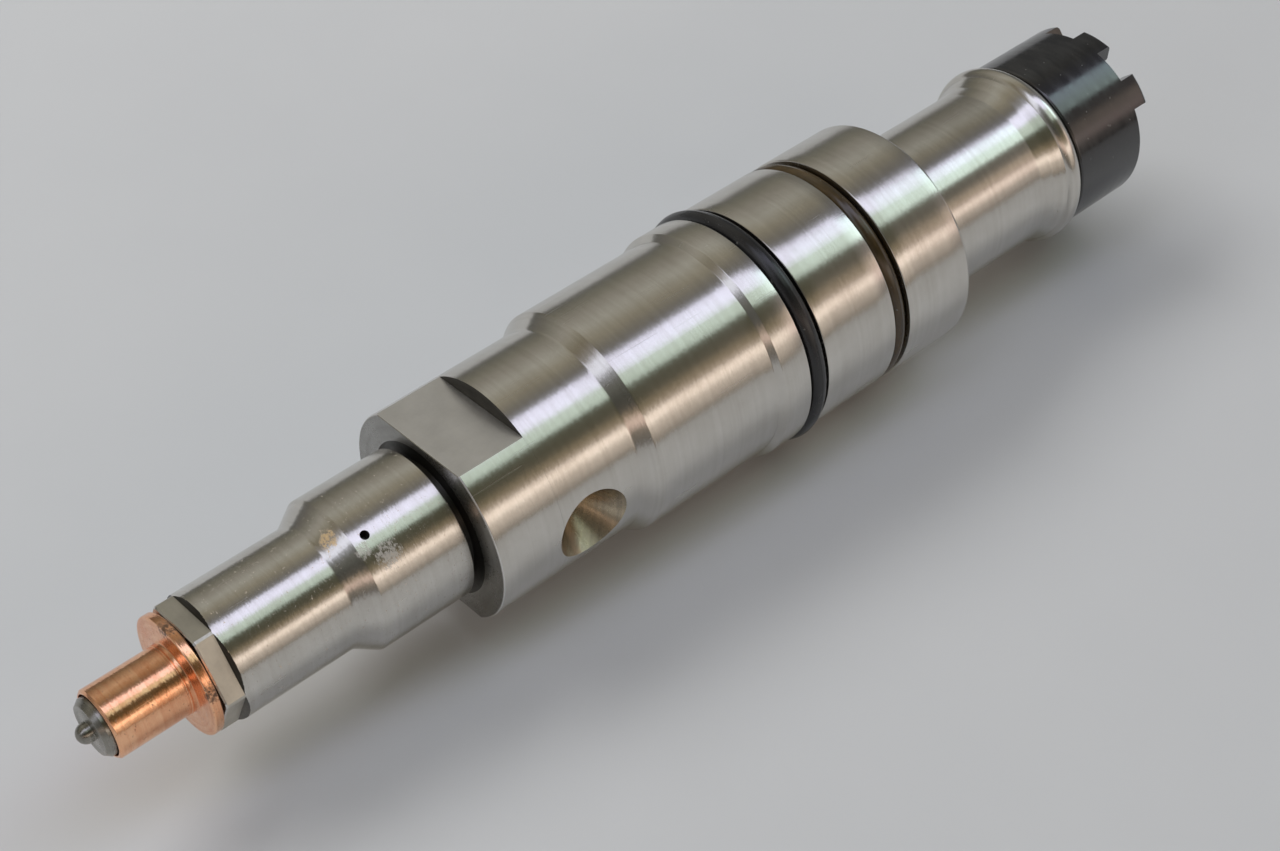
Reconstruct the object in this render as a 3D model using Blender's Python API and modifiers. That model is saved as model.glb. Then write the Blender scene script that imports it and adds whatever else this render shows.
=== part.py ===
"""Heavy-duty common-rail fuel injector, as an assembly of separate pieces.

The injector lies along world X: the nozzle points to -X and the connector to +X.
The origin is the centre of the copper flange's sealing face. Every piece hangs on
an empty whose own +Z is that axis, so a turned piece is drawn as (station, radius)
pairs, and a station is the distance from the sealing face. Lengths in the text
below are millimetres, and MM turns them into metres.
"""

import math

import bmesh
import bpy
from mathutils import Vector

MM = 0.001
GAP = 0.3

# Driving dimensions, nozzle to connector.
SAC_RADIUS = 1.5
SAC_REACH = 2.0
NOZZLE_END = -13.3
SHANK_RADIUS = 4.43
SHANK_CHAMFER_LENGTH = 0.8
SHANK_CHAMFER_DEPTH = 0.6
NOZZLE_HEAD_RADIUS = 7.5
NOZZLE_HEAD_START = 6.3
NOZZLE_HEAD_TOP = 27.0
SLEEVE_END = -12.0
SLEEVE_RADIUS = 5.27
FLANGE_RADIUS = 9.25
FLANGE_THICKNESS = 1.45
NUT_FRONT = FLANGE_THICKNESS + GAP
NUT_HEX_END = 4.7
NUT_NOSE_RADIUS = 9.72
NUT_HEX_CORNER = 9.85
NUT_HEX_CLOCK = 23.0
NUT_CONE_START = 23.1
NUT_CONE_END = 26.6
NUT_SKIRT_RADIUS = 12.02
NUT_END = 41.4
VENT_STATION = 28.8
VENT_CLOCK = 24.3
VENT_RADIUS = 0.7
BODY_FRONT = 42.8
SPIGOT_FRONT = 31.6
SPIGOT_RADIUS = 9.6
FRONT_RADIUS = 16.65
CONE_START = 68.7
CONE_END = 71.0
MIDDLE_RADIUS = 18.29
MIDDLE_END = 94.2
REAR_RADIUS = 19.18
LOWER_GROOVE = (100.1, 103.7)
LOWER_GROOVE_FLOOR = 16.5
LOWER_RING_SECTION = 1.5
LOWER_RING_RADIUS = 18.3
UPPER_GROOVE = (118.1, 121.3)
UPPER_GROOVE_FLOOR = 16.2
UPPER_RING_SECTION = 1.3
UPPER_RING_RADIUS = 17.8
REAR_SHOULDER = 135.4
SHOULDER_CHAMFER = 1.0
RECESS_DEPTH = 0.3
FRONT_RECESS_RADIUS = NUT_SKIRT_RADIUS + 0.4
REAR_RECESS_RADIUS = 14.1
BOSS_RADIUS = 11.8
BOSS_END = 146.0
POCKET_RADIUS = 9.2
POCKET_FLOOR = 112.0
FLAT_END = 54.1
FLAT_ACROSS = 27.5
FLAT_CLOCK = -6.0
INLET_STATION = 59.3
INLET_MOUTH_RADIUS = 6.1
INLET_DEPTH = 8.1
INLET_BORE_RADIUS = 1.3
INLET_CLOCK = 90.0
HOUSING_RADIUS = 13.67
HOUSING_BORE = 12.1
FLARE_START = 158.5
FLARE_MIDDLE = 160.8
FLARE_END = 162.3
BEAD_START = 162.8
BEAD_END = 166.3
BEAD_RADIUS = 15.65
LIP_START = 164.9
LIP_RADIUS = 10.9
CAP_START = BEAD_END + GAP
CAP_RADIUS = 14.8
RIM_END = 181.2
PRONG_END = 184.5
PRONG_CLOCKS = (-42.0, 2.0, 46.0)
PRONG_WIDTH = 5.2
PRONG_INNER_RADIUS = 12.0
SOCKET_RADIUS = 10.4
SOCKET_FLOOR = 170.5

# Internal dimensions.
NEEDLE_GUIDE_RADIUS = 2.0
NEEDLE_STEM_RADIUS = 1.3
BORE_RADIUS = NEEDLE_GUIDE_RADIUS + GAP
FEED_OFFSET = 5.7
FEED_RADIUS = 1.0
GALLERY_RADIUS = 5.2
DOWEL_OFFSET = 6.0
DOWEL_RADIUS = 0.6
SPRING_CHAMBER_RADIUS = 3.6
SPRING_CHAMBER_END = 58.3
SPRING_SEAT = 34.8
SPRING_SEAT_GAP = 0.45
SHIM_START = 57.2
NEEDLE_SPRING_RADIUS = 2.85
NEEDLE_SPRING_WIRE = 0.5
NEEDLE_SPRING_TURNS = 7
PLUNGER_TOP = 114.8
VALVE_RADIUS = POCKET_RADIUS - GAP
VALVE_TOP = 122.3
BALL_RADIUS = 0.8
BALL_STATION = 122.85
ARMATURE_PLATE_RADIUS = 7.0
ARMATURE_TOP = 133.0
CORE_FRONT = 133.6
CORE_END = 147.0
CORE_SLOT_FLOOR = 142.6
CORE_SLOT_INNER = 4.3
CORE_SLOT_OUTER = 7.1
COVER_END = 151.0
ARMATURE_SPRING_RADIUS = 1.35
ARMATURE_SPRING_WIRE = 0.3
ARMATURE_SPRING_TURNS = 5
TERMINAL_OFFSET = 5.7
TERMINAL_WIRE_RADIUS = 0.6
TERMINAL_PIN_RADIUS = 1.15
TERMINAL_STEP = 166.4
TERMINAL_END = 181.0
INNER_RING_RADIUS = 11.2
INNER_RING_SECTION = 0.6

# Facets around each kind of turned piece.
COARSE = 12
MEDIUM = 20
FINE = 32

STEEL = ("steel", (0.62, 0.60, 0.56), 0.28, 1.0)
DARK_STEEL = ("hard_steel", (0.45, 0.45, 0.45), 0.35, 1.0)
COPPER = ("copper", (0.86, 0.50, 0.34), 0.3, 1.0)
WINDING = ("winding", (0.55, 0.22, 0.10), 0.4, 1.0)
BRASS = ("terminal", (0.80, 0.66, 0.36), 0.3, 1.0)
PLASTIC = ("black_plastic", (0.02, 0.02, 0.02), 0.3, 0.0)
NATURAL_PLASTIC = ("bobbin_plastic", (0.75, 0.70, 0.58), 0.5, 0.0)
BLACK_RUBBER = ("black_rubber", (0.012, 0.012, 0.012), 0.4, 0.0)
BROWN_RUBBER = ("brown_rubber", (0.09, 0.05, 0.03), 0.45, 0.0)


def clear_scene():
    for thing in list(bpy.data.objects):
        bpy.data.objects.remove(thing, do_unlink=True)


def new_collection(name):
    collection = bpy.data.collections.new(name)
    bpy.context.scene.collection.children.link(collection)
    return collection


clear_scene()
PARTS = new_collection("fuel_injector")
CUTTERS = new_collection("cutters")


def new_empty(name, parent=None):
    empty = bpy.data.objects.new(name, None)
    empty.empty_display_size = 10 * MM
    empty.parent = parent
    PARTS.objects.link(empty)
    return empty


AXIS = new_empty("injector_axis")
AXIS.rotation_euler = (0.0, math.radians(90.0), 0.0)
NEEDLE_AXIS = new_empty("needle_axis", AXIS)
ARMATURE_AXIS = new_empty("armature_axis", AXIS)


def material(finish):
    name, colour, roughness, metallic = finish
    made = bpy.data.materials.get(name)
    if made is None:
        made = bpy.data.materials.new(name)
        made.use_nodes = True
        shader = made.node_tree.nodes["Principled BSDF"]
        shader.inputs["Base Color"].default_value = (*colour, 1.0)
        shader.inputs["Roughness"].default_value = roughness
        shader.inputs["Metallic"].default_value = metallic
    return made


def clock_point(clock, radius, station):
    """A point on the axis empty's own axes. Clock 0 is world +Z and clock 90 is world -Y."""
    angle = math.radians(clock)
    return Vector((-radius * math.cos(angle), -radius * math.sin(angle), station)) * MM


def add_object(name, mesh, finish=None, parent=AXIS):
    thing = bpy.data.objects.new(name, mesh)
    thing.parent = parent
    if finish is None:
        CUTTERS.objects.link(thing)
        thing.hide_render = True
        thing.display_type = "WIRE"
    else:
        PARTS.objects.link(thing)
        mesh.materials.append(material(finish))
    return thing


def outline_area(points):
    """Signed area of an outline, positive where it runs down its outer side."""
    pairs = zip(points, points[1:] + points[:1])
    return sum(z0 * r1 - z1 * r0 for (z0, r0), (z1, r1) in pairs)


def turned(name, outline, finish=None, facets=MEDIUM, parent=AXIS):
    """A turned piece from (station, radius) pairs. An outline that ends on the axis stays open."""
    start = min(station for station, radius in outline)
    points = [(station - start, radius) for station, radius in outline]
    if outline_area(points) < 0.0:
        points.reverse()
    mesh = bpy.data.meshes.new(name)
    form = bmesh.new()
    corners = [form.verts.new((radius * MM, 0.0, station * MM)) for station, radius in points]
    for first, second in zip(corners, corners[1:]):
        form.edges.new((first, second))
    on_axis = points[0][1] == 0.0 and points[-1][1] == 0.0
    if not on_axis:
        form.edges.new((corners[-1], corners[0]))
    form.to_mesh(mesh)
    form.free()
    thing = add_object(name, mesh, finish, parent)
    thing.location.z = start * MM
    screw = thing.modifiers.new("Turn", "SCREW")
    screw.axis = "Z"
    screw.angle = math.radians(360.0)
    screw.steps = facets
    screw.render_steps = facets
    screw.use_merge_vertices = True
    screw.merge_threshold = 0.00001
    screw.use_smooth_shade = True
    return thing


def arc(centre, radius, start, end, steps):
    """Points of an arc in the (station, radius) plane, angles in degrees from +station."""
    station, height = centre
    angles = [math.radians(start + (end - start) * i / steps) for i in range(steps + 1)]
    return [(station + radius * math.cos(a), height + radius * math.sin(a)) for a in angles]


def ring(name, station, radius, section, finish, facets=FINE):
    """An O-ring round the axis."""
    around = 8
    outline = arc((station, radius), section, 0.0, 360.0, around)[:-1]
    return turned(name, outline, finish, facets)


def rod_cutter(name, radius, start, end, clock=0.0, offset=0.0, facets=12):
    """A round cutter that runs along the axis, off it by an offset at a clock angle."""
    cutter = turned(name, [(start, 0.0), (start, radius), (end, radius), (end, 0.0)], None, facets)
    cutter.location = clock_point(clock, offset, start)
    cutter.rotation_euler.z = math.radians(180.0 / facets)
    return cutter


def cross_cutter(name, outline, clock, station, facets=12):
    """A turned cutter that lies across the axis: its stations are distances from the axis."""
    cutter = turned(name, outline, None, facets)
    start = min(distance for distance, radius in outline)
    outward = clock_point(clock, 1.0, 0.0).normalized()
    cutter.rotation_euler = outward.to_track_quat("Z", "Y").to_euler()
    cutter.location = clock_point(clock, start, station)
    return cutter


def box_cutter(name, size, clock, distance, station):
    """A block whose middle sits at a clock angle and distance, size (radial, across, along)."""
    mesh = bpy.data.meshes.new(name)
    form = bmesh.new()
    bmesh.ops.create_cube(form, size=1.0)
    bmesh.ops.scale(form, vec=Vector(size) * MM, verts=form.verts)
    form.to_mesh(mesh)
    form.free()
    block = add_object(name, mesh)
    block.rotation_euler = (0.0, 0.0, math.radians(clock) + math.pi)
    block.location = clock_point(clock, distance, station)
    return block


def cut(thing, cutters):
    for cutter in cutters:
        boolean = thing.modifiers.new(cutter.name, "BOOLEAN")
        boolean.operation = "DIFFERENCE"
        boolean.solver = "EXACT"
        boolean.object = cutter


def coil_spring(name, radius, wire, turns, start, end, finish, parent):
    """A round-wire coil between two stations, with half a flat turn at each end."""
    per_turn = 8
    count = int((turns + 1) * per_turn)
    low = start + wire
    rise = (end - wire) - low
    curve = bpy.data.curves.new(name, "CURVE")
    curve.dimensions = "3D"
    curve.bevel_depth = wire * MM
    curve.bevel_resolution = 2
    curve.use_fill_caps = True
    spline = curve.splines.new("POLY")
    spline.points.add(count)
    for index, point in enumerate(spline.points):
        turn = index / per_turn
        share = min(max((turn - 0.5) / turns, 0.0), 1.0)
        place = clock_point(turn * 360.0, radius, low + rise * share)
        point.co = (*place, 1.0)
    thing = bpy.data.objects.new(name, curve)
    thing.parent = parent
    PARTS.objects.link(thing)
    curve.materials.append(material(finish))
    return thing


def make_nozzle():
    sac_floor = NOZZLE_END - SAC_REACH
    sac_centre = sac_floor + SAC_RADIUS
    sac_bore = 0.55
    tip = arc((sac_centre, 0.0), SAC_RADIUS, 180.0, 90.0, 5)
    tip[0] = (sac_floor, 0.0)
    sac = arc((sac_centre + 0.3, 0.0), sac_bore, 90.0, 180.0, 3)
    sac[-1] = (sac_centre + 0.3 - sac_bore, 0.0)
    chamfer = 0.4
    outside = tip + [
        (NOZZLE_END, SAC_RADIUS),
        (NOZZLE_END, SHANK_RADIUS - SHANK_CHAMFER_DEPTH),
        (NOZZLE_END + SHANK_CHAMFER_LENGTH, SHANK_RADIUS),
        (NOZZLE_HEAD_START, SHANK_RADIUS),
        (NOZZLE_HEAD_START, NOZZLE_HEAD_RADIUS - chamfer),
        (NOZZLE_HEAD_START + chamfer, NOZZLE_HEAD_RADIUS),
        (NOZZLE_HEAD_TOP - chamfer, NOZZLE_HEAD_RADIUS),
        (NOZZLE_HEAD_TOP, NOZZLE_HEAD_RADIUS - chamfer),
    ]
    inside = [
        (NOZZLE_HEAD_TOP, BORE_RADIUS),
        (17.5, BORE_RADIUS),
        (16.5, GALLERY_RADIUS),
        (13.5, GALLERY_RADIUS),
        (11.5, 1.9),
        (-11.0, 1.9),
        (-12.6, sac_bore),
    ]
    nozzle = turned("nozzle_body", outside + inside + sac, DARK_STEEL, MEDIUM)
    feed = rod_cutter("nozzle_feed_cutter", FEED_RADIUS, 15.0, NOZZLE_HEAD_TOP + 1.0,
                      INLET_CLOCK, FEED_OFFSET)
    cutters = [feed]
    for side, clock in (("a", 0.0), ("b", 180.0)):
        cutters.append(rod_cutter("nozzle_dowel_cutter_" + side, DOWEL_RADIUS + GAP, 24.0,
                                  NOZZLE_HEAD_TOP + 1.0, clock, DOWEL_OFFSET))
    cut(nozzle, cutters)


def make_needle():
    outline = [
        (-12.75, 0.0),
        (-11.215, NEEDLE_STEM_RADIUS),
        (13.5, NEEDLE_STEM_RADIUS),
        (16.5, NEEDLE_GUIDE_RADIUS),
        (25.9, NEEDLE_GUIDE_RADIUS),
        (26.2, NEEDLE_GUIDE_RADIUS - 0.3),
        (26.2, 0.0),
    ]
    turned("nozzle_needle", outline, DARK_STEEL, MEDIUM, NEEDLE_AXIS)
    stem = 1.9
    spindle = [
        (26.5, 0.0),
        (26.5, stem),
        (33.6, stem),
        (33.6, 3.1),
        (SPRING_SEAT, 3.1),
        (SPRING_SEAT, stem),
        (36.3, stem),
        (36.3, 0.0),
    ]
    turned("pressure_spindle", spindle, DARK_STEEL, MEDIUM, NEEDLE_AXIS)
    plunger = [
        (36.6, 0.0),
        (36.6, 1.6),
        (59.5, 1.6),
        (60.0, NEEDLE_GUIDE_RADIUS),
        (PLUNGER_TOP - 0.4, NEEDLE_GUIDE_RADIUS),
        (PLUNGER_TOP, NEEDLE_GUIDE_RADIUS - 0.4),
        (PLUNGER_TOP, 0.0),
    ]
    turned("control_plunger", plunger, DARK_STEEL, MEDIUM, NEEDLE_AXIS)
    coil_spring("needle_spring", NEEDLE_SPRING_RADIUS, NEEDLE_SPRING_WIRE, NEEDLE_SPRING_TURNS,
                SPRING_SEAT + SPRING_SEAT_GAP, SHIM_START - GAP, DARK_STEEL, NEEDLE_AXIS)
    shim = [(SHIM_START, 2.0), (SHIM_START, 3.3), (58.0, 3.3), (58.0, 2.0)]
    turned("spring_shim", shim, DARK_STEEL, MEDIUM)


def make_copper_sleeve():
    bore = SHANK_RADIUS + GAP
    chamfer = 0.35
    outline = [
        (SLEEVE_END, bore),
        (SLEEVE_END, SLEEVE_RADIUS - chamfer),
        (SLEEVE_END + chamfer, SLEEVE_RADIUS),
        (-0.6, SLEEVE_RADIUS),
        (-0.17, SLEEVE_RADIUS + 0.18),
        (0.0, SLEEVE_RADIUS + 0.6),
        (0.0, FLANGE_RADIUS - 0.25),
        (0.25, FLANGE_RADIUS),
        (FLANGE_THICKNESS - 0.25, FLANGE_RADIUS),
        (FLANGE_THICKNESS, FLANGE_RADIUS - 0.25),
        (FLANGE_THICKNESS, bore),
    ]
    turned("copper_seal_sleeve", outline, COPPER, FINE)


def hexagon_cutter():
    """A collar whose hole is the nut's hexagon: a disc less a six-sided prism."""
    reach = NUT_NOSE_RADIUS + 3.0
    start = NUT_FRONT - 1.0
    middle = (start + NUT_HEX_END) / 2.0
    collar = turned("hexagon_cutter", [(start, 0.0), (start, reach), (NUT_HEX_END, reach),
                                       (NUT_HEX_END, 0.0)], None, FINE)
    collar.rotation_euler.z = math.radians(180.0 / FINE)
    mesh = bpy.data.meshes.new("hexagon_core")
    form = bmesh.new()
    bmesh.ops.create_cone(form, segments=6, cap_ends=True, radius1=NUT_HEX_CORNER * MM,
                          radius2=NUT_HEX_CORNER * MM, depth=20.0 * MM)
    form.to_mesh(mesh)
    form.free()
    core = add_object("hexagon_core_cutter", mesh)
    core.location.z = middle * MM
    core.rotation_euler.z = math.radians(NUT_HEX_CLOCK) + math.pi
    cut(collar, [core])
    return collar


def make_nut():
    bore = NOZZLE_HEAD_RADIUS + 0.35
    thread = SPIGOT_RADIUS + 0.4
    outline = [
        (NUT_FRONT, SHANK_RADIUS + GAP),
        (NUT_FRONT, NUT_NOSE_RADIUS),
        (NUT_CONE_START - 0.6, NUT_NOSE_RADIUS),
        (NUT_CONE_START, NUT_NOSE_RADIUS + 0.12),
        (NUT_CONE_END - 0.15, NUT_SKIRT_RADIUS - 0.1),
        (NUT_CONE_END + 0.2, NUT_SKIRT_RADIUS),
        (NUT_END - 0.4, NUT_SKIRT_RADIUS),
        (NUT_END, NUT_SKIRT_RADIUS - 0.4),
        (NUT_END, thread),
        (NUT_CONE_END, thread),
        (NUT_CONE_END, bore),
        (6.0, bore),
        (6.0, SHANK_RADIUS + GAP),
    ]
    nut = turned("nozzle_retaining_nut", outline, STEEL, FINE)
    vent = cross_cutter("vent_cutter", [(8.0, 0.0), (8.0, VENT_RADIUS), (14.0, VENT_RADIUS),
                                        (14.0, 0.0)], VENT_CLOCK, VENT_STATION)
    cut(nut, [hexagon_cutter(), vent])


def make_adapter():
    outline = [
        (27.3, BORE_RADIUS),
        (27.3, SPIGOT_RADIUS - 0.3),
        (27.6, SPIGOT_RADIUS),
        (31.0, SPIGOT_RADIUS),
        (31.3, SPIGOT_RADIUS - 0.3),
        (31.3, BORE_RADIUS),
    ]
    plate = turned("adapter_plate", outline, DARK_STEEL, MEDIUM)
    cutters = [rod_cutter("plate_feed_cutter", FEED_RADIUS, 26.0, 33.0, INLET_CLOCK, FEED_OFFSET)]
    for side, clock in (("a", 0.0), ("b", 180.0)):
        cutters.append(rod_cutter("plate_dowel_cutter_" + side, DOWEL_RADIUS + GAP, 26.0, 33.0,
                                  clock, DOWEL_OFFSET))
        pin = [(24.3, 0.0), (24.3, DOWEL_RADIUS), (34.0, DOWEL_RADIUS), (34.0, 0.0)]
        dowel = turned("dowel_pin_" + side, pin, DARK_STEEL, 12)
        dowel.location = clock_point(clock, DOWEL_OFFSET, 24.3)
    cut(plate, cutters)


def make_body():
    lower_start, lower_end = LOWER_GROOVE
    upper_start, upper_end = UPPER_GROOVE
    seal_groove_floor = 10.3
    outline = [
        (SPIGOT_FRONT, BORE_RADIUS),
        (SPIGOT_FRONT, SPIGOT_RADIUS - 0.3),
        (SPIGOT_FRONT + 0.3, SPIGOT_RADIUS),
        (BODY_FRONT + RECESS_DEPTH, SPIGOT_RADIUS),
        (BODY_FRONT + RECESS_DEPTH, FRONT_RECESS_RADIUS),
        (BODY_FRONT, FRONT_RECESS_RADIUS),
        (BODY_FRONT, FRONT_RADIUS - 0.35),
        (BODY_FRONT + 0.35, FRONT_RADIUS),
        (CONE_START, FRONT_RADIUS),
        (CONE_END, MIDDLE_RADIUS),
        (MIDDLE_END, MIDDLE_RADIUS),
        (MIDDLE_END + 0.9, REAR_RADIUS),
        (lower_start, REAR_RADIUS),
        (lower_start, LOWER_GROOVE_FLOOR),
        (lower_end, LOWER_GROOVE_FLOOR),
        (lower_end, REAR_RADIUS),
        (upper_start, REAR_RADIUS),
        (upper_start, UPPER_GROOVE_FLOOR),
        (upper_end, UPPER_GROOVE_FLOOR),
        (upper_end, REAR_RADIUS),
        (REAR_SHOULDER - SHOULDER_CHAMFER, REAR_RADIUS),
        (REAR_SHOULDER, REAR_RADIUS - SHOULDER_CHAMFER),
        (REAR_SHOULDER, REAR_RECESS_RADIUS),
        (REAR_SHOULDER - RECESS_DEPTH, REAR_RECESS_RADIUS),
        (REAR_SHOULDER - RECESS_DEPTH, BOSS_RADIUS),
        (140.0, BOSS_RADIUS),
        (140.0, seal_groove_floor),
        (142.4, seal_groove_floor),
        (142.4, BOSS_RADIUS),
        (BOSS_END, BOSS_RADIUS),
        (BOSS_END, POCKET_RADIUS),
        (POCKET_FLOOR, POCKET_RADIUS),
        (POCKET_FLOOR, BORE_RADIUS),
        (SPRING_CHAMBER_END, BORE_RADIUS),
        (SPRING_CHAMBER_END, SPRING_CHAMBER_RADIUS),
        (SPIGOT_FRONT + 1.7, SPRING_CHAMBER_RADIUS),
        (SPIGOT_FRONT + 1.7, BORE_RADIUS),
    ]
    body = turned("injector_body", outline, STEEL, FINE)
    cutters = []
    for side, clock in (("a", 0.0), ("b", 180.0)):
        cutters.append(rod_cutter("body_dowel_cutter_" + side, DOWEL_RADIUS + GAP,
                                  SPIGOT_FRONT - 1.0, 34.4, clock, DOWEL_OFFSET))
    cutters.append(rod_cutter("body_feed_cutter", FEED_RADIUS, SPIGOT_FRONT - 1.0,
                              INLET_STATION + 1.5, INLET_CLOCK, FEED_OFFSET))
    mouth = FRONT_RADIUS
    extra = 3.0
    slope = (INLET_MOUTH_RADIUS - INLET_BORE_RADIUS) / INLET_DEPTH
    inlet = [
        (FEED_OFFSET, 0.0),
        (FEED_OFFSET, INLET_BORE_RADIUS),
        (mouth - INLET_DEPTH, INLET_BORE_RADIUS),
        (mouth + extra, INLET_MOUTH_RADIUS + slope * extra),
        (mouth + extra, 0.0),
    ]
    cutters.append(cross_cutter("inlet_cutter", inlet, INLET_CLOCK, INLET_STATION, MEDIUM))
    length = FLAT_END - BODY_FRONT + 2.0
    for side, clock in (("a", FLAT_CLOCK), ("b", FLAT_CLOCK + 180.0)):
        cutters.append(box_cutter("flat_cutter_" + side, (10.0, 40.0, length), clock,
                                  FLAT_ACROSS / 2.0 + 5.0, FLAT_END - length / 2.0))
    cut(body, cutters)


def make_pilot_valve():
    bore_end = 116.3
    outline = [
        (POCKET_FLOOR + GAP, BORE_RADIUS),
        (POCKET_FLOOR + GAP, VALVE_RADIUS - 0.3),
        (POCKET_FLOOR + 2.0 * GAP, VALVE_RADIUS),
        (VALVE_TOP, VALVE_RADIUS),
        (VALVE_TOP, 1.3),
        (121.7, 0.4),
        (bore_end, 0.4),
        (bore_end, BORE_RADIUS),
    ]
    turned("control_valve_body", outline, DARK_STEEL, MEDIUM)
    ball = arc((BALL_STATION, 0.0), BALL_RADIUS, 180.0, 0.0, 8)
    ball[0] = (BALL_STATION - BALL_RADIUS, 0.0)
    ball[-1] = (BALL_STATION + BALL_RADIUS, 0.0)
    turned("valve_ball", ball, DARK_STEEL, COARSE, ARMATURE_AXIS)
    guide = [
        (VALVE_TOP + GAP, 2.4),
        (VALVE_TOP + GAP, 6.6),
        (127.6, 6.6),
        (127.6, 1.8),
        (124.9, 1.8),
        (124.9, 2.4),
    ]
    turned("armature_guide", guide, DARK_STEEL, MEDIUM)
    nut = [
        (VALVE_TOP + GAP, 6.9),
        (VALVE_TOP + GAP, VALVE_RADIUS),
        (130.0, VALVE_RADIUS),
        (130.0, 4.6),
        (127.9, 4.6),
        (127.9, 6.9),
    ]
    turned("valve_retaining_nut", nut, DARK_STEEL, MEDIUM)
    armature = [
        (BALL_STATION + BALL_RADIUS + GAP, 0.0),
        (BALL_STATION + BALL_RADIUS + GAP, 1.5),
        (131.2, 1.5),
        (131.2, ARMATURE_PLATE_RADIUS),
        (ARMATURE_TOP, ARMATURE_PLATE_RADIUS),
        (ARMATURE_TOP, 0.7),
        (134.4, 0.7),
        (134.4, 0.0),
    ]
    turned("armature", armature, DARK_STEEL, MEDIUM, ARMATURE_AXIS)
    spacer = [(130.3, 7.5), (130.3, VALVE_RADIUS), (133.3, VALVE_RADIUS), (133.3, 7.5)]
    turned("lift_spacer_ring", spacer, DARK_STEEL, MEDIUM)


def make_solenoid():
    core = [
        (CORE_FRONT, 2.0),
        (CORE_FRONT, CORE_SLOT_INNER),
        (CORE_SLOT_FLOOR, CORE_SLOT_INNER),
        (CORE_SLOT_FLOOR, CORE_SLOT_OUTER),
        (CORE_FRONT, CORE_SLOT_OUTER),
        (CORE_FRONT, VALVE_RADIUS),
        (CORE_END, VALVE_RADIUS),
        (CORE_END, 2.0),
    ]
    body = turned("solenoid_core", core, DARK_STEEL, MEDIUM)
    cover_outline = [
        (CORE_END + GAP, 0.0),
        (CORE_END + GAP, BOSS_RADIUS),
        (COVER_END, BOSS_RADIUS),
        (COVER_END, 0.0),
    ]
    cover = turned("core_cover", cover_outline, DARK_STEEL, MEDIUM)
    core_cutters = []
    cover_cutters = []
    for side, clock in (("a", 90.0), ("b", 270.0)):
        core_cutters.append(rod_cutter("core_lead_cutter_" + side, TERMINAL_WIRE_RADIUS + GAP,
                                       CORE_SLOT_FLOOR - 1.0, CORE_END + 1.0, clock,
                                       TERMINAL_OFFSET))
        cover_cutters.append(rod_cutter("cover_lead_cutter_" + side, TERMINAL_WIRE_RADIUS + GAP,
                                        CORE_END - 1.0, COVER_END + 1.0, clock, TERMINAL_OFFSET))
        start = CORE_SLOT_FLOOR + GAP
        pin = [
            (start, 0.0),
            (start, TERMINAL_WIRE_RADIUS),
            (TERMINAL_STEP - 0.4, TERMINAL_WIRE_RADIUS),
            (TERMINAL_STEP, TERMINAL_PIN_RADIUS),
            (TERMINAL_END - 1.0, TERMINAL_PIN_RADIUS),
            (TERMINAL_END, TERMINAL_PIN_RADIUS - 0.55),
            (TERMINAL_END, 0.0),
        ]
        terminal = turned("terminal_pin_" + side, pin, BRASS, 12)
        terminal.location = clock_point(clock, TERMINAL_OFFSET, start)
    cut(body, core_cutters)
    cut(cover, cover_cutters)
    coil_spring("armature_spring", ARMATURE_SPRING_RADIUS, ARMATURE_SPRING_WIRE,
                ARMATURE_SPRING_TURNS, ARMATURE_TOP + GAP, 143.5, DARK_STEEL, ARMATURE_AXIS)
    plug = [(143.8, 0.0), (143.8, 1.7), (CORE_END, 1.7), (CORE_END, 0.0)]
    turned("spring_plug", plug, DARK_STEEL, COARSE)
    bobbin = [(133.9, 4.6), (133.9, 6.8), (134.5, 6.8), (134.5, 5.1),
              (141.7, 5.1), (141.7, 6.8), (142.3, 6.8), (142.3, 4.6)]
    turned("coil_bobbin", bobbin, NATURAL_PLASTIC, MEDIUM)
    winding = [(134.8, 5.4), (134.8, 6.7), (141.4, 6.7), (141.4, 5.4)]
    turned("coil_winding", winding, WINDING, MEDIUM)


def make_housing():
    start = REAR_SHOULDER + GAP
    bead_half = (BEAD_END - BEAD_START) / 2.0
    bead = arc((BEAD_START + bead_half, BEAD_RADIUS - bead_half), bead_half, 165.0, 0.0, 6)
    outline = [
        (start, HOUSING_BORE),
        (start, HOUSING_RADIUS - 0.3),
        (start + 0.3, HOUSING_RADIUS),
        (FLARE_START, HOUSING_RADIUS),
        (FLARE_MIDDLE, HOUSING_RADIUS + 0.2),
        (FLARE_END, HOUSING_RADIUS + 0.7),
    ] + bead + [
        (BEAD_END, LIP_RADIUS),
        (LIP_START, LIP_RADIUS),
        (LIP_START, HOUSING_BORE),
    ]
    turned("solenoid_housing", outline, STEEL, FINE)


def rim_cutter():
    """A disc that trims the cap's wall down to its rim, with notches that spare the prongs."""
    reach = CAP_RADIUS + 2.0
    top = PRONG_END + 1.0
    disc = turned("rim_cutter", [(RIM_END, 0.0), (RIM_END, reach), (top, reach), (top, 0.0)],
                  None, FINE)
    disc.rotation_euler.z = math.radians(180.0 / FINE)
    notches = []
    for index, clock in enumerate(PRONG_CLOCKS):
        notches.append(box_cutter("prong_notch_%d" % index, (8.0, PRONG_WIDTH, 8.0), clock,
                                  CAP_RADIUS, RIM_END + 2.0))
    cut(disc, notches)
    return disc


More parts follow.
